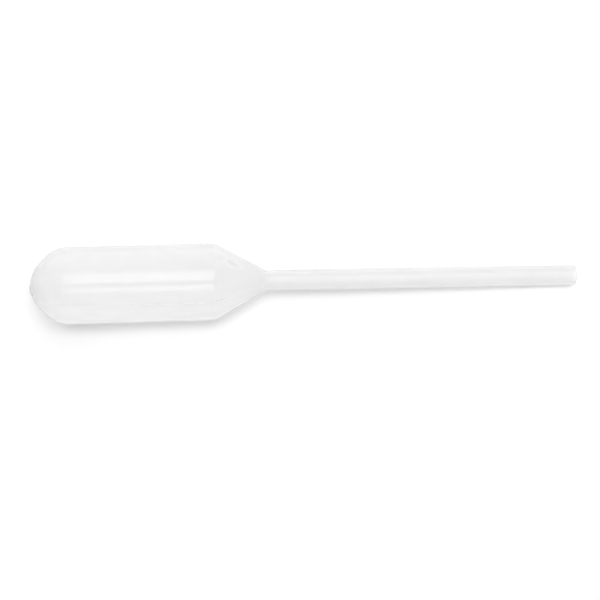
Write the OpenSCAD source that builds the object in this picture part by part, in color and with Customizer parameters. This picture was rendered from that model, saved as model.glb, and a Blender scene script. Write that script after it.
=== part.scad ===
// Dropper pipette of soft milky plastic, blown in one piece: a closed bulb, a cone and a plain stem.
// It lies as it comes to rest, on the edge of the bulb's shoulder and on the rim of the open tip.
// The bulb points to -X and the tip to +X. Z = 0 is what it lies on, and the origin is mid-length.

/* [Overall] */
// Length from the bulb's nose to the open tip
length = 90; // [70:1:140]
// Outer diameter of the bulb
bulb_d = 12.6; // [10:0.1:17]
// Outer diameter of the stem
stem_d = 3.3; // [2.6:0.1:4.6]

/* [Bulb] */
// From the nose to the corner of the shoulder
bulb_len = 29.9; // [22:0.1:42]
// From the corner of the shoulder to the corner at the stem's root
cone_len = 8.3; // [5:0.1:12]
// From the nose to the corner where its flank would meet the bulb's side
nose_len = 4.1; // [3:0.1:5]
// Angle of the nose's flank from the axis
nose_flank = 45; // [38:1:52]
// Radius between the nose's flank and the bulb's side
nose_blend_r = 5; // [2:0.1:6]
// Radius of the shoulder's edge
shoulder_r = 1.2; // [0.6:0.1:3]
// Radius in the corner at the stem's root
root_r = 1.5; // [0.5:0.1:4]

/* [Stem] */
// From the corner at the stem's root to the slight bend in the stem
bend_after = 2.5; // [2:0.5:10]
// Angle that the stem leans off the bulb's axis from there on
stem_lean = 0.6; // [0:0.1:2]

/* [Wall] */
// Wall of the bulb, blown thin
bulb_wall = 0.4; // [0.25:0.05:0.7]
// Wall of the stem, left thick
stem_wall = 0.6; // [0.35:0.05:0.9]
// Wall at the nose, where the blown tube was pinched shut
nose_wall = 0.7; // [0.4:0.05:1.2]

/* [Mould marks] */
// Height of the parting ridge that the two mould halves leave along both sides
ridge_h = 0.06; // [0.04:0.01:0.15]
// Width of the parting ridge
ridge_w = 0.2; // [0.1:0.05:0.4]
// Height of the pinch weld across the nose
weld_h = 0.16; // [0.16:0.01:0.5]
// Thickness of the pinch weld
weld_t = 0.4; // [0.25:0.05:0.8]
// Length of the pinch weld across the nose
weld_len = 5; // [2:0.1:8]
// Turn of the parting plane about the axis, from upright
ridge_turn = 32; // [20:1:70]

/* [Dent] */
// From the corner of the shoulder to the middle of the dent in the cone, along the axis
dent_after = 2.7; // [2:0.1:4]
// Depth of the dent
dent_depth = 0.2; // [0.05:0.05:0.4]
// Radius of the dent's hollow
dent_r = 2.5; // [1.5:0.1:4]
// Turn of the dent about the axis, from straight up
dent_turn = 37; // [0:1:90]

/* [Hidden] */
$fn = 96;

// Least radius left to a rounding on the inside of the wall
least_r = 0.1;
// Share of the nose's flank that the rounding beside it may take
rounding_share = 0.9;
// Added to each rounding's radius, so that its arc crosses the lines it runs into
hair = 0.0002;
// Far end of the blown tube, from which the tip is cut
tube_end = length + 2;

bulb_r = bulb_d / 2;
stem_r = stem_d / 2;
cone_angle = atan2(bulb_r - stem_r, cone_len);
nose_r = nose_radius(bulb_r, nose_len, 0);
bend_at = bulb_len + cone_len + bend_after;
// How far the tip comes along the bulb's axis
reach = bend_at + (length - bend_at) * cos(stem_lean);

// The shoulder's round edge, as its centre's distance along the axis and from it
edge_at = bulb_len - run(shoulder_r, cone_angle);
edge_out = bulb_r - shoulder_r;

// Slope of the axis at rest, which brings the shoulder's edge and the tip's rim down to the same height
rest_along = reach - edge_at;
rest_drop = edge_out - stem_r;
rest_slope = atan2(rest_drop, rest_along) + asin(shoulder_r / norm([rest_along, rest_drop]));
rest_lift = reach * sin(rest_slope) + stem_r * cos(rest_slope);

// The two ends of the part at rest, measured level from where the nose starts
nose_end = nose_r * cos(rest_slope) - nose_r - weld_h;
tip_end = reach * cos(rest_slope) + stem_r * sin(rest_slope);

// Length of the tangent that a rounding of radius r takes from a corner that turns by a degrees
function run(r, a) = r * tan(a / 2);

// Radius of a round nose that starts at y0 and runs into a flank whose far corner is at radius r and height y
function nose_radius(r, y, y0) = (r * cos(nose_flank) - (y - y0) * sin(nose_flank)) / (1 - sin(nose_flank));

// Half of the pipette's outline up to end, moved inwards by its own depth at the nose, the bulb and the stem.
// Each round stretch is the arc that its two neighbours run into without a corner.
module outline(nose_in, bulb_in, stem_in, end) {
    r_bulb = bulb_r - bulb_in;
    r_stem = stem_r - stem_in;
    y_flank = nose_len + run(bulb_in, nose_flank);
    y_shoulder = bulb_len - run(bulb_in, cone_angle);
    y_root = bulb_len + cone_len - run(stem_in, cone_angle);
    slope = atan2(r_bulb - r_stem, y_root - y_shoulder);

    along_flank = [sin(nose_flank), cos(nose_flank)];
    along_cone = [-sin(slope), cos(slope)];
    r_nose = nose_radius(r_bulb, y_flank, nose_in);
    nose_middle = [0, nose_in + r_nose];
    flank_start = nose_middle + r_nose * [cos(nose_flank), -sin(nose_flank)];
    flank_room = norm([r_bulb, y_flank] - flank_start) / tan(nose_flank / 2);

    r_blend = min(nose_blend_r - bulb_in, rounding_share * flank_room);
    r_edge = max(shoulder_r - bulb_in, least_r);
    r_root = root_r + stem_in;
    blend = run(r_blend, nose_flank);
    edge = run(r_edge, slope);
    root = run(r_root, slope);
    flank_end = [r_bulb, y_flank] - blend * along_flank;
    flank_middle = (flank_start[1] + flank_end[1]) / 2;

    difference() {
        intersection() {
            union() {
                polygon([
                    [0, flank_start[1]],
                    flank_start,
                    flank_end,
                    [r_bulb, y_flank + blend],
                    [r_bulb, y_shoulder - edge],
                    [r_bulb, y_shoulder] + edge * along_cone,
                    [r_stem, y_root] - root * along_cone,
                    [r_stem, y_root + root],
                    [r_stem, end],
                    [0, end]
                ]);
                // The nose's disc stops on the straight flank, past which a wide bulb's would stand out
                intersection() {
                    translate(nose_middle) circle(r_nose + hair);
                    translate([-length, -length]) square([2 * length, length + flank_middle]);
                }
                translate([r_bulb - r_blend, y_flank + blend]) circle(r_blend + hair);
                translate([r_bulb - r_edge, y_shoulder - edge]) circle(r_edge + hair);
            }
            translate([0, -length]) square([length, 3 * length]);
        }
        translate([r_stem + r_root, y_root + root]) circle(r_root + hair);
    }
}

// The whole outline, stood out by h, as a flat plate of thickness t in the parting plane
module parting_plate(h, t) {
    rotate([0, 0, ridge_turn])
        rotate([90, 0, 0])
            linear_extrude(t, center = true)
                for (side = [0, 1]) mirror([side, 0]) outline(-h, -h, -h, tube_end);
}

module pinch_weld() {
    intersection() {
        parting_plate(weld_h, weld_t);
        translate([0, 0, -2 * weld_h]) cylinder(h = nose_len, d = weld_len);
    }
}

// The hollow pressed into the cone past the shoulder, grown by a margin
module dent(margin) {
    cone_r = bulb_r - dent_after * tan(cone_angle);
    rotate([0, 0, -dent_turn])
        translate([-cone_r, 0, bulb_len + dent_after])
            rotate([0, cone_angle, 0])
                translate([dent_depth - dent_r, 0, 0]) sphere(dent_r + margin);
}

module outside() {
    difference() {
        union() {
            rotate_extrude() outline(0, 0, 0, tube_end);
            parting_plate(ridge_h, ridge_w);
            pinch_weld();
        }
        dent(0);
    }
}

// The inside runs out through the tip as a round bore, and the wall keeps its thickness behind the dent
module cavity() {
    difference() {
        rotate_extrude() outline(nose_wall, bulb_wall, stem_wall, tube_end + 1);
        dent(bulb_wall);
    }
}

// What is cut off square at the open tip
module offcut() {
    translate([0, 0, length]) cylinder(h = 2 * (tube_end - length), d = bulb_d);
}

// One side of a plane across the axis at the bend, tilted by half of the lean
module side_of_bend(tilt, below) {
    translate([0, 0, bend_at])
        rotate([tilt, 0, 0])
            translate([-length, -length, below ? -2 * length : 0]) cube(2 * length);
}

// Its children, with all that is past the bend leaning to one side, and both halves cut to meet face to face
module bent() {
    intersection() {
        children();
        side_of_bend(stem_lean / 2, true);
    }
    translate([0, 0, bend_at]) rotate([stem_lean, 0, 0]) translate([0, 0, -bend_at])
        intersection() {
            children();
            side_of_bend(-stem_lean / 2, false);
        }
}

module pipette() {
    color("whitesmoke")
        translate([-(nose_end + tip_end) / 2, 0, rest_lift])
            rotate([0, 90 + rest_slope, 0])
                bent() difference() {
                    outside();
                    cavity();
                    offcut();
                }
}

pipette();
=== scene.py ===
"""A dropper pipette of natural polyethylene, lying on a white table under large soft lamps.

The pipette is one blown wall: a round-nosed bulb, a cone and a plain stem, hollow from the bulb to the open tip.
Its surface is worked out on one grid, from the nose along the outside to the tip's rim and back along the inside.
All sizes in the classes are millimetres, and the meshes are metres.
"""

import logging
from dataclasses import dataclass, field
from enum import Enum
from math import asin, atan2, cos, hypot, radians, sin, tan
from typing import Any, Sequence

import bpy
import numpy as np
from mathutils import Euler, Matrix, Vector


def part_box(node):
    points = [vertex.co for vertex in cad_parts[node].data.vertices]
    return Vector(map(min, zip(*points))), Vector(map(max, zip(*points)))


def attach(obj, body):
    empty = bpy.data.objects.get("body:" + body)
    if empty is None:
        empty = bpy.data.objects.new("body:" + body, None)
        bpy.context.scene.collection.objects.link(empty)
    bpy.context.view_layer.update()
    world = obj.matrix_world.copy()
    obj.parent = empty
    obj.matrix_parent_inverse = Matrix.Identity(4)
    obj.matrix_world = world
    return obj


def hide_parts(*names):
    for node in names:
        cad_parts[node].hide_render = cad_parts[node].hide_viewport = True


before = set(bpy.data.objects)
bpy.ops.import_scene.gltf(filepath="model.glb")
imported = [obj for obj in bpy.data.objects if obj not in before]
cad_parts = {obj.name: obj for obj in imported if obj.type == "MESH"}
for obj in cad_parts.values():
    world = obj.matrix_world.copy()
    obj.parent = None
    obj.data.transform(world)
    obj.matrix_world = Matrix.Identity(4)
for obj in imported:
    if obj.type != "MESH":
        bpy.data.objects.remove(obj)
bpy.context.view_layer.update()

LOG = logging.getLogger("pipette")
MM = 0.001
TINY = 1e-6  # Millimetres below which a length is nought
WALL, MOULD_SIDE = "wall_mm", "mould_side"

Array = np.ndarray
NodeTree = bpy.types.NodeTree
Socket = bpy.types.NodeSocket


class Shell(Enum):
    """Which side of the blown wall a row of the grid lies on."""

    OUTSIDE = 0
    RIM = 1
    INSIDE = 2


# ---------------------------------------------------------------------------------------------------------------
# Small helpers
# ---------------------------------------------------------------------------------------------------------------


def linear_colour(hex_colour: str) -> tuple[float, float, float, float]:
    """Turns an sRGB colour into the linear values that shaders take.

    Args:
        hex_colour: Six hex digits, such as "F2F4F4".

    Returns:
        Linear red, green and blue, and an alpha of 1.
    """
    parts = [int(hex_colour[at : at + 2], 16) / 255 for at in (0, 2, 4)]
    red, green, blue = [c / 12.92 if c <= 0.04045 else ((c + 0.055) / 1.055) ** 2.4 for c in parts]
    return red, green, blue, 1.0


def add_node(tree: NodeTree, kind: str, settings: dict[str, Any] | None = None, **inputs: Any) -> bpy.types.Node:
    """Adds a shader node, sets it up and links it.

    Args:
        tree: The node tree that takes the node.
        kind: The node's type name.
        settings: Values of the node's own properties.
        inputs: One entry per input, named as the input with _ for a space. An output socket is linked, and any
            other value is set. A name that starts with i and a number is that input by its place.

    Returns:
        The new node.
    """
    node = tree.nodes.new(kind)
    for name, value in (settings or {}).items():
        setattr(node, name, value)
    for name, value in inputs.items():
        key: int | str = int(name[1:]) if name[0] == "i" and name[1:].isdigit() else name.replace("_", " ")
        if isinstance(value, Socket):
            tree.links.new(value, node.inputs[key])
        else:
            node.inputs[key].default_value = value
    return node


def add_math(tree: NodeTree, operation: str, *values: Any, clamp: bool = False) -> Socket:
    """Adds the result of a maths operation on values that are sockets or numbers."""
    inputs = {f"i{place}": value for place, value in enumerate(values)}
    return add_node(tree, "ShaderNodeMath", {"operation": operation, "use_clamp": clamp}, **inputs).outputs[0]


def add_range(tree: NodeTree, value: Socket, low: float, high: float) -> Socket:
    """Adds a value that goes straight from low to high as the given one goes from 0 to 1."""
    return add_node(tree, "ShaderNodeMapRange", Value=value, To_Min=low, To_Max=high).outputs[0]


def add_noise(tree: NodeTree, place: Socket, scale: float, detail: float, roughness: float = 0.5) -> Socket:
    """Adds a soft random value between 0 and 1, which changes from place to place."""
    settings = {"Scale": scale, "Detail": detail, "Roughness": roughness}
    return add_node(tree, "ShaderNodeTexNoise", Vector=place, **settings).outputs["Fac"]


def add_bump(tree: NodeTree, height: Socket, size: float, strength: float, **inputs: Socket) -> Socket:
    """Adds the normal of a surface with this relief, whose greatest height is size in millimetres."""
    return add_node(tree, "ShaderNodeBump", Height=height, Distance=size * MM, Strength=strength, **inputs).outputs[0]


def add_mix(tree: NodeTree, share: Socket | float, one: Socket, other: Socket) -> Socket:
    """Adds a mix of two shaders, with this share of the other."""
    return add_node(tree, "ShaderNodeMixShader", i0=share, i1=one, i2=other).outputs[0]


def add_seen(tree: NodeTree) -> Socket:
    """Adds a value of 1 for what the eye sees, straight or in a mirror, and 0 for what lights the scene."""
    rays = add_node(tree, "ShaderNodeLightPath").outputs
    return add_math(tree, "MAXIMUM", rays["Is Camera Ray"], rays["Is Glossy Ray"])


def smooth_step(x: Array) -> Array:
    """Rises from 0 to 1 as x does, level at both ends: 3x^2 - 2x^3."""
    t = np.clip(x, 0.0, 1.0)
    return t * t * (3 - 2 * t)


def plateau(distance: Array, half_width: float, soft: float) -> Array:
    """A flat-topped rise with soft sides.

    It is 1 up to half_width - soft / 2 from the middle, 0 from half_width + soft / 2 on, and a smooth step between.

    Args:
        distance: Distance of each point from the rise's middle.
        half_width: Distance at which the rise is at half its height.
        soft: Width of each side.

    Returns:
        The rise's share of its height at each point.
    """
    return 1.0 - smooth_step((distance - half_width + soft / 2) / soft)


# ---------------------------------------------------------------------------------------------------------------
# The pipette's outline
# ---------------------------------------------------------------------------------------------------------------


@dataclass(frozen=True)
class Leg:
    """One straight leg of an outline, with the rounding at its far corner.

    along and out are the far corner's place, and step is how far apart the leg's points lie.
    """

    along: float
    out: float
    radius: float
    step: float


@dataclass(frozen=True)
class Depth:
    """How far in from the outline a surface lies, at the nose, the bulb and the stem."""

    nose: float = 0.0
    bulb: float = 0.0
    stem: float = 0.0


@dataclass(frozen=True)
class Outline:
    """Sizes of the blown tube, measured from the nose along the axis and out from it.

    nose_flank is in degrees, and least_r is the least radius left to a rounding on the inside. arc_step and arc_pieces
    are the widest step and the least number of pieces of a rounding.
    """

    length: float = 90.0
    bulb_r: float = 6.3
    stem_r: float = 1.65
    bulb_len: float = 29.9
    cone_len: float = 8.3
    nose_len: float = 4.1
    nose_flank: float = 45.0
    nose_blend_r: float = 5.0
    shoulder_r: float = 1.2
    root_r: float = 1.5
    rim_r: float = 0.05
    least_r: float = 0.1
    arc_step: float = 0.15
    arc_pieces: int = 6

    @property
    def cone_angle(self) -> float:
        """Angle of the cone from the axis, in radians."""
        return atan2(self.bulb_r - self.stem_r, self.cone_len)

    @property
    def shoulder_edge(self) -> tuple[float, float]:
        """Centre of the shoulder's rounding, along the axis and out from it."""
        return self.bulb_len - self.shoulder_r * tan(self.cone_angle / 2), self.bulb_r - self.shoulder_r

    def nose_r(self, bulb_r: float, flank_at: float, start: float) -> float:
        """Radius of a round nose from start that runs into the flank without a corner.

        With a the flank's angle: (R cos a - (y - y0) sin a) / (1 - sin a).
        """
        flank = radians(self.nose_flank)
        return (bulb_r * cos(flank) - (flank_at - start) * sin(flank)) / (1 - sin(flank))

    def legs(self, depth: Depth) -> list[Leg]:
        """Corners of the outline, moved in by depth, with the rounding of each.

        Args:
            depth: How far inside the outline the surface lies.

        Returns:
            The outline's legs from the axis at the nose to the tip.
        """
        bulb_r, stem_r = self.bulb_r - depth.bulb, self.stem_r - depth.stem
        half_flank, half_cone = radians(self.nose_flank) / 2, self.cone_angle / 2
        flank_at = self.nose_len + depth.bulb * tan(half_flank)
        shoulder_at = self.bulb_len - depth.bulb * tan(half_cone)
        root_at = self.bulb_len + self.cone_len - depth.stem * tan(half_cone)
        nose_r = self.nose_r(bulb_r, flank_at, depth.nose)
        return [
            Leg(depth.nose, 0.0, 0.0, step=0.06),
            Leg(depth.nose, nose_r * tan(half_flank), nose_r, step=0.06),
            Leg(flank_at, bulb_r, self.nose_blend_r - depth.bulb, step=0.12),
            Leg(shoulder_at, bulb_r, max(self.shoulder_r - depth.bulb, self.least_r), step=0.32),
            Leg(root_at, stem_r, self.root_r + depth.stem, step=0.1),
            Leg(self.length, stem_r, 0.0, step=0.5),
        ]

    def trace(self, depth: Depth) -> Array:
        """Points along the outline, from the axis at the nose to the tip.

        Each corner P between directions d1 and d2 that turn by a becomes the arc of radius r that starts at
        P - r tan(a/2) d1, and the arc's point at turn t is start + r (sin t d1 + (1 - cos t) n), with n across d1.

        Args:
            depth: How far inside the outline the points lie.

        Returns:
            An (n, 2) array of distances along the axis and out from it.
        """
        legs = self.legs(depth)
        corners = np.array([(leg.along, leg.out) for leg in legs])
        ways = np.diff(corners, axis=0)
        ways /= np.linalg.norm(ways, axis=1)[:, None]
        runs, at = [corners[:1]], corners[0]
        for k, leg in enumerate(legs[1:], 1):
            if k == len(legs) - 1:
                runs.append(self.line(at, corners[k], leg.step))
                break
            before, after = ways[k - 1], ways[k]
            turn = np.arctan2(before[0] * after[1] - before[1] * after[0], before @ after)
            start = corners[k] - leg.radius * tan(abs(turn) / 2) * before
            across = np.sign(turn) * np.array([-before[1], before[0]])
            pieces = max(self.arc_pieces, round(leg.radius * abs(turn) / min(leg.step, self.arc_step)))
            t = np.linspace(0.0, abs(turn), pieces + 1)[1:, None]
            runs.append(self.line(at, start, leg.step))
            runs.append(start + leg.radius * (np.sin(t) * before + (1 - np.cos(t)) * across))
            at = runs[-1][-1]
        return np.vstack(runs)

    @staticmethod
    def line(start: Array, end: Array, step: float) -> Array:
        """Even points on the way from start to end: start + t (end - start).

        Args:
            start: Where the line starts, which is left out.
            end: Where the line ends.
            step: About how far apart the points lie.

        Returns:
            An (n, 2) array of points, empty for a line of no length.
        """
        length = float(np.linalg.norm(end - start))
        if length < TINY:
            return np.empty((0, 2))
        t = np.linspace(0.0, 1.0, max(1, round(length / step)) + 1)[1:, None]
        return start + t * (end - start)


# ---------------------------------------------------------------------------------------------------------------
# Marks on the wall
# ---------------------------------------------------------------------------------------------------------------


@dataclass(frozen=True)
class PartingMarks:
    """What the two mould halves leave: a ridge all round their parting plane and a pinch weld over the nose.

    The ridge has its full height in a stretch of the bulb's far half and the faint share of it elsewhere, where the
    mould shut more tightly. full is where that stretch starts and ends along the axis, full_ends how wide its two soft
    ends are, and weld_reach and weld_fade the same for the weld's one end. The edges are the marks' soft sides. melt
    is how much thicker the wall is made for each millimetre of the ridge's height, and the field after it what dashes
    add. The thicker wall darkens the seam: partly melt that gathers there, partly painted shade of the ridge.
    """

    turn: float = radians(-32.0)
    ridge_height: float = 0.06
    ridge_width: float = 0.2
    ridge_edge: float = 0.07
    faint: float = 0.25
    full: tuple[float, float] = (13.0, 30.0)
    full_ends: tuple[float, float] = (4.0, 3.0)
    weld_height: float = 0.16
    weld_thickness: float = 0.4
    weld_edge: float = 0.1
    weld_length: float = 5.0
    weld_end: float = 0.25
    weld_reach: float = 3.0
    weld_fade: float = 0.5
    # The seam's thicker wall is darker: partly melt that gathers there, partly painted shade of the ridge
    melt: float = 1.0
    melt_and_shade_in_dashes: float = 4.5
    dash_waves: tuple[tuple[float, float, float], ...] = ((1.0, 1.9, 0.0), (0.8, 3.1, 1.0))
    dash_level: float = 0.2
    dash_edge: float = 0.8

    def reach(self, along: Array) -> Array:
        """The share, from 0 to 1, to which a place along the axis is in the full stretch: a smooth step at each end."""
        (near, far), (rise, fall) = self.full, self.full_ends
        return smooth_step((along - near) / rise) * (1 - smooth_step((along - far) / fall))

    def height(self, along: Array, out: Array, angle: Array) -> Array:
        """How far the marks stand out from the outline.

        The ridge is a plateau of the distance from the parting plane, |r sin(angle - turn)|. The weld is the
        product of that distance's plateau and the plateau of |r cos(angle - turn)|, on the nose only.

        Args:
            along: Distance along the axis.
            out: Distance from the axis.
            angle: Angle about the axis, from straight up.

        Returns:
            Height of the marks at each point.
        """
        off_plane = np.abs(out * np.sin(angle - self.turn))
        in_plane = np.abs(out * np.cos(angle - self.turn))
        full = self.ridge_height * (self.faint + (1 - self.faint) * self.reach(along))
        ridge = full * plateau(off_plane, self.ridge_width / 2, self.ridge_edge)
        thick = plateau(off_plane, self.weld_thickness / 2, self.weld_edge)
        weld = thick * plateau(in_plane, self.weld_length / 2, self.weld_end)
        on_nose = 1.0 - smooth_step((along - self.weld_reach) / self.weld_fade)
        return np.maximum(ridge, self.weld_height * weld * on_nose)

    def dashes(self, along: Array) -> Array:
        """Uneven dashes with soft ends, where the sum of waves a sin(k s + p) along the axis is over their level."""
        waves = sum(a * np.sin(k * along + p) for a, k, p in self.dash_waves)
        return smooth_step((waves - self.dash_level) / self.dash_edge)

    def thickened_and_shaded(self, along: Array, out: Array, angle: Array) -> Array:
        """How much thicker the wall is along the parting line, where melt gathers inside it.

        It is a share of the ridge's height, and grows in dashes along the full stretch. The thicker wall is darker,
        so the line is partly melt and partly painted shade of the ridge.

        Args:
            along: Distance along the axis.
            out: Distance from the axis.
            angle: Angle about the axis, from straight up.

        Returns:
            The extra thickness at each point.
        """
        ridge = np.minimum(self.height(along, out, angle), self.ridge_height)
        return ridge * (self.melt + self.melt_and_shade_in_dashes * self.reach(along) * self.dashes(along))


@dataclass(frozen=True)
class Fold:
    """A short sharp fold in the cone's wall, from start to end.

    Both ends are a distance past the shoulder along the axis and an angle about it from straight up. The fold keeps
    a share of its depth at its ends.
    """

    start: tuple[float, float]
    end: tuple[float, float]
    depth: float
    width: float
    at_ends: float = 0.35


@dataclass(frozen=True)
class Dent:
    """A shallow round hollow pressed into the cone, with folds in the wall beside it.

    soft is how far the hollow's edge is rounded, and the field after it how much the wall thickens for a fold's depth.
    The thicker wall darkens the folds: partly the folded wall itself, partly painted shade in the creases.
    """

    after_shoulder: float = 2.7
    turn: float = radians(37.0)
    depth: float = 0.2
    radius: float = 2.5
    soft: float = 0.02
    # The folds' thicker wall is darker: partly the folded wall, partly painted shade in the creases
    fold_gather_and_shade: float = 5.0
    folds: tuple[Fold, ...] = (
        Fold((2.2, radians(42.5)), (3.8, radians(31.5)), depth=0.11, width=0.15),
        Fold((7.8, radians(66.0)), (8.5, radians(52.0)), depth=0.08, width=0.14),
    )

    @staticmethod
    def on_cone(outline: Outline, after_shoulder: float, turn: float) -> Array:
        """The point of the cone at this distance past the shoulder and this angle from straight up."""
        out = outline.bulb_r - after_shoulder * tan(outline.cone_angle)
        return np.array([-out * cos(turn), out * sin(turn), outline.bulb_len + after_shoulder])

    def height(self, outline: Outline, points: Array) -> Array:
        """How far the dent and the folds take the wall in, as heights below nought.

        The dent is the cap c = depth - R + sqrt(R^2 - x^2) of a sphere, where x is the distance from the dent's own
        axis, which stands square on the cone. Its edge is softened to (c + sqrt(c^2 + s^2) - s exp(-(x/R)^2)) / 2.

        Args:
            outline: The pipette's outline.
            points: An (..., 3) array of places on the wall.

        Returns:
            The height at each point.
        """
        middle = self.on_cone(outline, self.after_shoulder, self.turn)
        slope = outline.cone_angle
        square = np.array([-cos(slope) * cos(self.turn), cos(slope) * sin(self.turn), sin(slope)])
        away = points - middle
        x = np.linalg.norm(away - (away @ square)[..., None] * square, axis=-1)
        # The dent's axis goes on through the cone's far side, which stays as it is
        near = np.linalg.norm(away, axis=-1) < 3 * self.radius
        cap = self.depth - self.radius + np.sqrt(np.maximum(self.radius**2 - x**2, 0.0))
        cap = 0.5 * (cap + np.sqrt(cap**2 + self.soft**2)) - 0.5 * self.soft * np.exp(-((x / self.radius) ** 2))
        return -np.where(near & (cap > 0), cap, 0.0) - self.folds_depth(outline, points)

    def folds_depth(self, outline: Outline, points: Array) -> Array:
        """How deep the folds are: a bell, exp(-(y / w)^2), of the distance y from each fold's line.

        Each is deepest half way along.

        Args:
            outline: The pipette's outline.
            points: An (..., 3) array of places on the wall.

        Returns:
            The depth at each point.
        """
        depth = np.zeros(points.shape[:-1])
        for fold in self.folds:
            start, end = self.on_cone(outline, *fold.start), self.on_cone(outline, *fold.end)
            way = end - start
            t = np.clip(((points - start) @ way) / (way @ way), 0.0, 1.0)
            y = np.linalg.norm(points - start - t[..., None] * way, axis=-1)
            swell = fold.at_ends + (1 - fold.at_ends) * np.sin(np.pi * t)
            depth += fold.depth * np.exp(-((y / fold.width) ** 2)) * swell
        return depth


@dataclass(frozen=True)
class Waves:
    """The slight unevenness that blowing leaves in a thin wall. It only takes the wall in.

    Each train of waves is its k along the axis, its m round the axis and its phase p.
    """

    bulb_depth: float = 0.03
    stem_depth: float = 0.012
    trains: tuple[tuple[float, int, float], ...] = ((0.31, 2, 0.6), (0.52, -3, 2.1), (0.17, 1, 4.0))

    def height(self, outline: Outline, along: Array, angle: Array) -> Array:
        """Long low waves: minus depth times the mean of 1 + sin(k s + m angle + p) over the trains, halved.

        Args:
            outline: The pipette's outline.
            along: Distance along the axis.
            angle: Angle about the axis, from straight up.

        Returns:
            The height at each point, which is never over nought.
        """
        share = smooth_step((along - outline.bulb_len) / outline.cone_len)
        depth = self.bulb_depth + (self.stem_depth - self.bulb_depth) * share
        waves = sum(np.sin(k * along + m * angle + p) for k, m, p in self.trains)
        return -depth * (len(self.trains) + waves) / (2 * len(self.trains))


# ---------------------------------------------------------------------------------------------------------------
# The pipette
# ---------------------------------------------------------------------------------------------------------------


@dataclass(frozen=True)
class Clarity:
    """What one wall of the plastic does to the light that goes straight through it.

    wall is in millimetres, haze is the share of the light that it scatters and loss the share that it swallows.
    """

    wall: float
    haze: float
    loss: float


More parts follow.
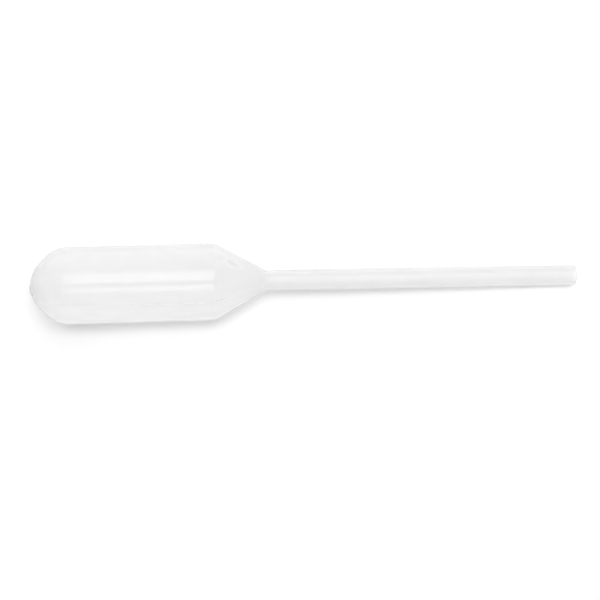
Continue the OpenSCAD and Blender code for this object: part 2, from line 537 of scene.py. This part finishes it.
@dataclass(frozen=True)
class NaturalPolyethylene:
    """Natural low-density polyethylene, blow-moulded: undyed, with a milky haze.

    To the eye it is a pale grey veil that what lies behind shows through, thicker towards the edges, with soft
    mirror stripes of the lamps along it. The mould's fine blast gives the skin its sheen, the drawn tube leaves faint
    lines along its length, and the melt leaves slow clouds in the wall. The thin wall is blown hard against the
    blasted mould, so it is milkier than the thick one, which swallows more light.

    head_on is the share of light that a face mirrors head-on, and rough the roughness of its mirror. least_across is
    the least cosine that a slanting way through the wall is reckoned at. Sizes are in millimetres.
    """

    thin: Clarity = Clarity(wall=0.4, haze=0.38, loss=0.006)
    thick: Clarity = Clarity(wall=0.7, haze=0.34, loss=0.042)
    least_across: float = 0.15
    head_on: float = 0.041
    rough: tuple[float, float] = (0.07, 0.15)
    peel_size: float = 0.5
    peel_height: float = 0.01
    peel_strength: float = 0.25
    line_width: float = 0.35
    line_length: float = 14.0
    line_height: float = 0.02
    line_strength: float = 0.35
    cloud_width: float = 7.0
    cloud_length: float = 14.0
    cloud_range: tuple[float, float] = (0.85, 1.15)

    def material(self, slope: float) -> bpy.types.Material:
        """Builds the material.

        Args:
            slope: How far the pipette's axis dips towards its tip, in radians, which the drawn lines follow.

        Returns:
            The finished material.
        """
        material = bpy.data.materials.new("natural_polyethylene_blow_moulded")
        material.use_nodes = True
        tree = material.node_tree
        tree.nodes.clear()
        place = add_node(tree, "ShaderNodeTexCoord").outputs["Object"]
        lie = add_node(tree, "ShaderNodeMapping", i0=place, Rotation=(0.0, -slope, 0.0)).outputs[0]
        # The skin: a fine peel left by the blasted mould
        peel = add_noise(tree, place, 1 / (self.peel_size * MM), detail=2.0)
        rough = add_range(tree, peel, *self.rough)
        grain = add_bump(tree, peel, self.peel_height, self.peel_strength)
        # Drawn lines: long along the axis and narrow round it
        lines = add_noise(tree, self.stretched(tree, lie, self.line_length, self.line_width), 1.0, detail=2.0)
        skin = add_bump(tree, lines, self.line_height, self.line_strength, Normal=grain)
        # The sheen: the outer face mirrors F0 + (1 - F0) (1 - cos)^5 of what meets it, and the inner face F0
        facing = add_node(tree, "ShaderNodeLayerWeight", Blend=0.5, Normal=skin).outputs["Facing"]
        outer = add_node(tree, "ShaderNodeAttribute", {"attribute_name": MOULD_SIDE}).outputs["Fac"]
        grazing = add_math(tree, "MULTIPLY", facing, outer)
        mirror = add_range(tree, add_math(tree, "POWER", grazing, 5.0), self.head_on, 1.0)
        gloss = add_node(tree, "ShaderNodeBsdfGlossy", Roughness=rough, Normal=skin).outputs[0]
        # Clouds: where the melt is a little thicker and milkier
        slow = self.stretched(tree, lie, self.cloud_length, self.cloud_width)
        cloudy = add_range(tree, add_noise(tree, slow, 1.0, detail=3.0, roughness=0.55), *self.cloud_range)
        # The haze: light that the crystals in the wall scatter to both sides, more where the way through is longer
        # The wall's thickness also carries the thickening that paints shade along the parting line and in the folds
        wall = add_node(tree, "ShaderNodeAttribute", {"attribute_name": WALL}).outputs["Fac"]
        across = add_range(tree, grazing, 1.0, self.least_across)
        milky = add_math(tree, "MULTIPLY", self.by_wall(tree, wall, self.thin.haze, self.thick.haze), cloudy)
        share = add_math(tree, "DIVIDE", milky, across, clamp=True)
        # The loss: a little of the light runs off along the wall, more on a slant and where the wall is thick
        lost = add_math(tree, "DIVIDE", self.by_wall(tree, wall, self.thin.loss, self.thick.loss), across)
        left = add_math(tree, "SUBTRACT", 1.0, lost, clamp=True)
        front = add_node(tree, "ShaderNodeBsdfDiffuse", Color=left).outputs[0]
        back = add_node(tree, "ShaderNodeBsdfTranslucent", Color=left).outputs[0]
        clear = add_node(tree, "ShaderNodeBsdfTransparent", Color=left).outputs[0]
        body = add_mix(tree, share, clear, add_mix(tree, 0.5, front, back))
        add_node(tree, "ShaderNodeOutputMaterial", Surface=add_mix(tree, mirror, body, gloss))
        return material

    @staticmethod
    def stretched(tree: NodeTree, lie: Socket, length: float, width: float) -> Socket:
        """Adds the place in units of length along the pipette and of width across it."""
        scale = (1 / (length * MM), 1 / (width * MM), 1 / (width * MM))
        return add_node(tree, "ShaderNodeMapping", i0=lie, Scale=scale).outputs[0]

    def by_wall(self, tree: NodeTree, wall: Socket, thin: float, thick: float) -> Socket:
        """Adds a value that goes straight from one at the thin wall to one at the thick wall, and on past both.

        Args:
            tree: The material's nodes.
            wall: The wall's thickness.
            thin: The value at the thin wall.
            thick: The value at the thick wall.

        Returns:
            The value's socket.
        """
        ends = {"i1": self.thin.wall, "i2": self.thick.wall, "To_Min": thin, "To_Max": thick}
        return add_node(tree, "ShaderNodeMapRange", {"clamp": False}, Value=wall, **ends).outputs[0]


@dataclass
class BlownPipette:
    """The whole pipette: one closed surface, outside and inside.

    The wall goes from the nose's thickness to the bulb's over nose_share of the nose's length, and reaches the stem's
    at past_root beyond the stem's root. The drawn stem is thicker by draw_down at its root and thinner by as much at
    its tip. columns are the grid's even columns in half a turn, and seam_columns the distances of the others from the
    parting plane.
    """

    outline: Outline = field(default_factory=Outline)
    wall: Depth = field(default_factory=lambda: Depth(nose=0.7, bulb=0.4, stem=0.6))
    marks: PartingMarks = field(default_factory=PartingMarks)
    dent: Dent = field(default_factory=Dent)
    waves: Waves = field(default_factory=Waves)
    finish: NaturalPolyethylene = field(default_factory=NaturalPolyethylene)
    bend_after: float = 2.5
    bend_length: float = 4.0
    lean: float = radians(0.6)
    nose_share: float = 0.55
    past_root: float = 3.0
    draw_down: float = 0.08
    columns: int = 46
    seam_columns: tuple[float, ...] = (0.0, 0.035, 0.07, 0.105, 0.14, 0.2, 0.3)
    rim_points: int = 5
    rim_step: float = 0.12

    @property
    def bend_at(self) -> float:
        """Distance of the slight bend from the nose."""
        return self.outline.bulb_len + self.outline.cone_len + self.bend_after

    @property
    def tip_at(self) -> float:
        """How far the tip comes along the bulb's axis."""
        return self.bend_at + (self.outline.length - self.bend_at) * cos(self.lean)

    @property
    def rest_slope(self) -> float:
        """Slope of the axis, in radians, with the shoulder's edge and the tip's rim on one level."""
        edge_at, edge_out = self.outline.shoulder_edge
        along, drop = self.tip_at - edge_at, edge_out - self.outline.stem_r
        return atan2(drop, along) + asin(self.outline.shoulder_r / hypot(along, drop))

    def rows(self) -> tuple[Array, Array]:
        """The grid's rows: along the outside, over the rim and back along the inside.

        The rim is a quarter circle at each edge, (cos t, sin t) about its centre, with a flat between.

        Returns:
            The rows' (n, 2) places and the shell of each.
        """
        outside = self.outline.trace(Depth())
        inside = self.outline.trace(self.wall)[::-1]
        edge, end, stem_r = self.outline.rim_r, self.outline.length, self.outline.stem_r
        outside[-1, 0] -= edge
        inside[0, 0] -= edge
        t = np.linspace(0.0, np.pi / 2, self.rim_points)
        outer_edge = np.c_[np.sin(t), np.cos(t)] * edge + (end - edge, stem_r - edge)
        inner_edge = np.c_[np.cos(t), -np.sin(t)] * edge + (end - edge, stem_r - self.wall.stem + edge)
        flat = Outline.line(outer_edge[-1], inner_edge[0], self.rim_step)[:-1]
        rim = np.vstack([outer_edge[1:], flat, inner_edge[:-1]])
        shells = [shell.value for shell in (Shell.OUTSIDE, Shell.RIM, Shell.INSIDE)]
        return np.vstack([outside, rim, inside]), np.repeat(shells, [len(outside), len(rim), len(inside)])

    def angles(self, out: Array) -> Array:
        """The grid's columns, closest together beside the two parting ridges.

        In each half turn they are e / r and pi - e / r for the seam columns' distances e, and even between them.
        Near the axis, where e / r would be too wide, they are even all round.

        Args:
            out: Distance of each row from the axis.

        Returns:
            A (rows, columns) array of angles from straight up.
        """
        e = np.array(self.seam_columns)
        total = self.columns + 2 * len(e) - 1
        even = np.pi * np.arange(len(e)) / total
        near = np.minimum(e / np.maximum(out, TINY)[:, None], even[None, :])
        share = np.linspace(0.0, 1.0, self.columns + 2)[1:-1]
        last = near[:, -1:]
        middle = last + share * (np.pi - 2 * last)
        half = np.hstack([near, middle, np.pi - near[:, :0:-1]])
        return self.marks.turn + np.hstack([half, half + np.pi])

    def grid(self) -> Array:
        """Every point of the surface, as the pipette lies.

        A point of the plain outline is (-r cos a, r sin a, s). It moves along the outline's own normal by the
        height of the marks, the dent, its folds and the waves, then the stem leans and the whole is laid down.

        Returns:
            A (rows, columns, 3) array in metres.
        """
        rows, shells = self.rows()
        ways = np.gradient(rows, axis=0)
        ways /= np.maximum(np.linalg.norm(ways, axis=1), TINY)[:, None]
        away = np.where(shells == Shell.INSIDE.value, -1.0, 1.0)[:, None] * np.c_[-ways[:, 1], ways[:, 0]]
        angle = self.angles(rows[:, 1])
        along, out = np.broadcast_to(rows[:, :1], angle.shape), np.broadcast_to(rows[:, 1:], angle.shape)
        plain = np.stack([-out * np.cos(angle), out * np.sin(angle), along], axis=-1)
        height = self.dent.height(self.outline, plain) + self.waves.height(self.outline, along, angle)
        outer = (shells == Shell.OUTSIDE.value)[:, None]
        height = height + np.where(outer, self.marks.height(along, out, angle), 0.0)
        height = np.where((shells == Shell.RIM.value)[:, None], 0.0, height)
        new_along, new_out = along + away[:, :1] * height, out + away[:, 1:] * height
        # The first and the last row are each one point on the axis
        poles = [0, -1]
        new_out[poles] = 0.0
        new_along[poles] = new_along[poles].mean(axis=1, keepdims=True)
        upright = np.stack([-new_out * np.cos(angle), new_out * np.sin(angle), new_along], axis=-1)
        return self.laid(self.leaning(upright))

    def leaning(self, points: Array) -> Array:
        """The stem leans to one side past the bend.

        The lean grows by a smooth step over the bend's length, and each cross-section turns with it. With t the
        share of the bend passed, the middle line moves aside by -tan(lean) w (t^3 - t^4 / 2), then in a straight line.

        Args:
            points: Places on the straight pipette.

        Returns:
            The same places with the stem leaning.
        """
        x, y, along = points[..., 0], points[..., 1], points[..., 2]
        start, width = self.bend_at - self.bend_length / 2, self.bend_length
        t = np.clip((along - start) / width, 0.0, 1.0)
        past = np.maximum(along - start - width, 0.0)
        aside = -tan(self.lean) * (width * (t**3 - t**4 / 2) + past)
        turn = self.lean * smooth_step(t)
        return np.stack([x, aside + y * np.cos(turn), along + y * np.sin(turn)], axis=-1)

    def wall_at(self, rows: Array, angle: Array) -> Array:
        """Thickness of the wall, as the material takes it.

        It goes from the nose's to the bulb's by a smooth step over the nose's round end, then by another to the stem's
        along the cone. It is also thicker along the parting line and in the folds: partly melt that gathers there,
        partly painted shade, since the thicker wall is darker.

        Args:
            rows: The rows' (n, 2) distances along the axis and out from it.
            angle: Angle of each point about the axis, from straight up.

        Returns:
            The thickness at each point.
        """
        outline, past_bulb = self.outline, rows[:, :1] - self.outline.bulb_len
        to_bulb = smooth_step(rows[:, :1] / (self.nose_share * outline.nose_len))
        to_stem = smooth_step(past_bulb / (outline.cone_len + self.past_root))
        thin = self.wall.nose + (self.wall.bulb - self.wall.nose) * to_bulb
        drawn = 1 - 2 * np.clip(past_bulb / (outline.length - outline.bulb_len), 0.0, 1.0)
        stem = self.wall.stem + self.draw_down * drawn
        along, out = np.broadcast_to(rows[:, :1], angle.shape), np.broadcast_to(rows[:, 1:], angle.shape)
        plain = np.stack([-out * np.cos(angle), out * np.sin(angle), along], axis=-1)
        # The parting line and the folds get a thicker, darker wall: partly real melt, partly painted shade
        thickened_and_shaded = self.marks.thickened_and_shaded(along, out, angle) + self.dent.fold_gather_and_shade * self.dent.folds_depth(outline, plain)
        return thin + (stem - thin) * to_stem + thickened_and_shaded

    def laid(self, points: Array) -> Array:
        """Lays the upright pipette down in its resting place.

        The axis turns from +Z to (cos a, 0, -sin a), with a the resting slope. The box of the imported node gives
        the middle of its length and the height it lies at.

        Args:
            points: Places on the upright pipette, in millimetres.

        Returns:
            Places on the lying pipette, in metres.
        """
        low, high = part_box("pipette")
        a, outline = self.rest_slope, self.outline
        nose_r = outline.nose_r(outline.bulb_r, outline.nose_len, 0.0)
        nose_end = nose_r * cos(a) - nose_r - self.marks.weld_height
        tip_end = self.tip_at * cos(a) + outline.stem_r * sin(a)
        lift = self.tip_at * sin(a) + outline.stem_r * cos(a)
        x = -points[..., 0] * sin(a) + points[..., 2] * cos(a) - (nose_end + tip_end) / 2
        z = -points[..., 0] * cos(a) - points[..., 2] * sin(a) + lift
        laid = MM * np.stack([x, points[..., 1], z], axis=-1)
        return laid + np.array([(low.x + high.x) / 2, (low.y + high.y) / 2, low.z])

    @staticmethod
    def closed_mesh(name: str, grid: Array) -> bpy.types.Mesh:
        """Turns a grid with a pole at each end into a closed mesh that faces outwards.

        Args:
            name: The mesh's name.
            grid: A (rows, columns, 3) array whose first and last rows are single points.

        Returns:
            The mesh, smooth-shaded.
        """
        rows, columns = grid.shape[:2]
        vertices = np.vstack([grid[0, :1], grid[1:-1].reshape(-1, 3), grid[-1, :1]])
        ring = 1 + np.arange((rows - 2) * columns).reshape(rows - 2, columns)
        beside = np.roll(ring, -1, axis=1)
        quads = np.stack([ring[:-1], ring[1:], beside[1:], beside[:-1]], axis=-1).reshape(-1, 4)
        last = len(vertices) - 1
        first_fan = np.stack([np.zeros(columns, int), ring[0], beside[0]], axis=-1)
        last_fan = np.stack([np.full(columns, last), beside[-1], ring[-1]], axis=-1)
        triangles = np.vstack([first_fan, last_fan, quads[:, :3], quads[:, [0, 2, 3]]])
        a, b, c = (vertices[triangles[:, k]] for k in range(3))
        inward = float(np.einsum("ij,ij->", a, np.cross(b, c))) < 0
        faces = [f[::-1] if inward else f for part in (first_fan, quads, last_fan) for f in part.tolist()]
        mesh = bpy.data.meshes.new(name)
        mesh.from_pydata(vertices.tolist(), [], faces)
        mesh.validate()
        mesh.polygons.foreach_set("use_smooth", np.ones(len(mesh.polygons), bool))
        mesh.update()
        return mesh

    def build(self) -> bpy.types.Object:
        """Builds the pipette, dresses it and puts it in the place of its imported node.

        Returns:
            The finished object.
        """
        mesh = self.closed_mesh("pipette_body", self.grid())
        rows, shells = self.rows()
        angle = self.angles(rows[:, 1])
        outer = np.broadcast_to((shells != Shell.INSIDE.value).astype(float)[:, None], angle.shape)
        for name, values in ((WALL, self.wall_at(rows, angle)), (MOULD_SIDE, outer)):
            spread = np.r_[values[0, 0], values[1:-1].ravel(), values[-1, 0]]
            mesh.attributes.new(name, "FLOAT", "POINT").data.foreach_set("value", spread)
        piece = bpy.data.objects.new("pipette_body", mesh)
        bpy.context.scene.collection.objects.link(piece)
        piece.data.materials.append(self.finish.material(self.rest_slope))
        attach(piece, "root")
        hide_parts("pipette")
        return piece


# ---------------------------------------------------------------------------------------------------------------
# Table, light and camera
# ---------------------------------------------------------------------------------------------------------------


@dataclass(frozen=True)
class WhiteTable:
    """A plain table top of matt white paint, which mirrors nothing, so that only the soft shadow marks it.

    fade is where it starts and ends turning to plain white for the eye, as distances from its middle.
    """

    half_side: float = 1500.0
    colour: str = "F7F7F7"
    fade: tuple[float, float] = (90.0, 260.0)

    def build(self) -> bpy.types.Object:
        """Builds the table: a flat square whose middle keeps the pipette's shadow.

        Returns:
            The table.
        """
        r = self.half_side * MM
        corners = [(-r, -r, 0.0), (r, -r, 0.0), (r, r, 0.0), (-r, r, 0.0)]
        mesh = bpy.data.meshes.new("table")
        mesh.from_pydata(corners, [], [(0, 1, 2, 3)])
        table = bpy.data.objects.new("table", mesh)
        bpy.context.scene.collection.objects.link(table)
        mesh.materials.append(self.material())
        return table

    def material(self) -> bpy.types.Material:
        """Builds the paint. Its fade to white is a smooth step of the distance from the middle.

        Returns:
            The finished material.
        """
        material = bpy.data.materials.new("table_matt_white_paint")
        material.use_nodes = True
        tree = material.node_tree
        tree.nodes.clear()
        matt = add_node(tree, "ShaderNodeBsdfDiffuse", Color=linear_colour(self.colour)).outputs[0]
        place = add_node(tree, "ShaderNodeTexCoord").outputs["Object"]
        off = add_node(tree, "ShaderNodeVectorMath", {"operation": "LENGTH"}, i0=place).outputs["Value"]
        near, far = (distance * MM for distance in self.fade)
        fade = add_node(tree, "ShaderNodeMapRange", {"interpolation_type": "SMOOTHSTEP"}, Value=off, i1=near, i2=far)
        share = add_math(tree, "MULTIPLY", add_seen(tree), fade.outputs[0])
        white = add_node(tree, "ShaderNodeEmission", Strength=1.0).outputs[0]
        add_node(tree, "ShaderNodeOutputMaterial", Surface=add_mix(tree, share, matt, white))
        return material


@dataclass(frozen=True)
class SoftLamp:
    """A large rectangular lamp over the table, which faces its middle."""

    name: str
    place: tuple[float, float, float]
    size: tuple[float, float]
    radiance: float
    mirrored: bool = True

    def build(self) -> bpy.types.Object:
        """Builds the lamp, whose power is pi times its area times its radiance, and turns it to the origin.

        Returns:
            The lamp.
        """
        light = bpy.data.lights.new(self.name, "AREA")
        light.shape = "RECTANGLE"
        light.size, light.size_y = self.size[0] * MM, self.size[1] * MM
        light.energy = np.pi * light.size * light.size_y * self.radiance
        lamp = bpy.data.objects.new(self.name, light)
        lamp.location = Vector(self.place) * MM
        x, y, z = self.place
        lamp.rotation_euler = Euler((-asin(y / hypot(x, y, z)), atan2(x, z), 0.0))
        lamp.visible_camera = False
        lamp.visible_glossy = self.mirrored
        bpy.context.scene.collection.objects.link(lamp)
        return lamp


@dataclass(frozen=True)
class Room:
    """The pale room around the table, whose ambient level lights the scene evenly."""

    ambient: float = 0.41

    def build(self) -> None:
        """Lights the scene at the ambient level and shows the eye a white background."""
        world = bpy.data.worlds.new("pale_room")
        bpy.context.scene.world = world
        world.use_nodes = True
        tree = world.node_tree
        tree.nodes.clear()
        level = add_range(tree, add_seen(tree), self.ambient, 1.0)
        light = add_node(tree, "ShaderNodeBackground", Color=(1.0, 1.0, 1.0, 1.0), Strength=level).outputs[0]
        add_node(tree, "ShaderNodeOutputWorld", Surface=light)


@dataclass(frozen=True)
class OverheadCamera:
    """The camera straight above the table. clip is how near and how far it sees, in metres."""

    place: tuple[float, float, float] = (-0.642, -3.404, 200.0)
    turn: float = radians(-1.659)
    tilt: float = radians(0.168)
    lens: float = 70.85
    sensor: float = 36.0
    clip: tuple[float, float] = (0.01, 20.0)

    def build(self) -> bpy.types.Object:
        """Builds the camera and makes it the scene's own.

        Returns:
            The camera.
        """
        data = bpy.data.cameras.new("overhead")
        data.lens, data.sensor_width = self.lens, self.sensor
        data.clip_start, data.clip_end = self.clip
        camera = bpy.data.objects.new("overhead", data)
        camera.location = Vector(self.place) * MM
        camera.rotation_euler = Euler((0.0, self.tilt, self.turn))
        bpy.context.scene.collection.objects.link(camera)
        bpy.context.scene.camera = camera
        return camera


# The lamps that the pipette mirrors give it its two stripes. The others only shape the shadow and the haze.
LAMPS = (
    SoftLamp("key_lamp", place=(345.0, 546.0, 1500.0), size=(1002.0, 882.0), radiance=2.0),
    SoftLamp("strip_lamp", place=(345.0, -480.0, 1500.0), size=(1002.0, 376.0), radiance=1.65),
    SoftLamp("overhead_lamp", place=(90.0, 237.0, 1500.0), size=(900.0, 321.0), radiance=9.0, mirrored=False),
    SoftLamp("side_lamp", place=(180.0, 1260.0, 1500.0), size=(2100.0, 2100.0), radiance=0.5, mirrored=False),
    SoftLamp("fill_lamp", place=(0.0, -1480.0, 210.0), size=(1500.0, 400.0), radiance=3.3, mirrored=False),
)


def main() -> None:
    """Builds the scene in order."""
    logging.basicConfig(level=logging.INFO, format="%(name)s: %(message)s")
    bpy.context.scene.view_settings.view_transform = "Standard"
    LOG.info("%s over the table", OverheadCamera().build().name)
    pipette = BlownPipette()
    piece = pipette.build()
    LOG.info("%s: %d faces, slope %.3f degrees", piece.name, len(piece.data.polygons), np.degrees(pipette.rest_slope))
    LOG.info("%s under it", WhiteTable().build().name)
    Room().build()
    for lamp in LAMPS:
        LOG.info("%s at %s", lamp.build().name, lamp.place)


if __name__ == "__main__":
    main()
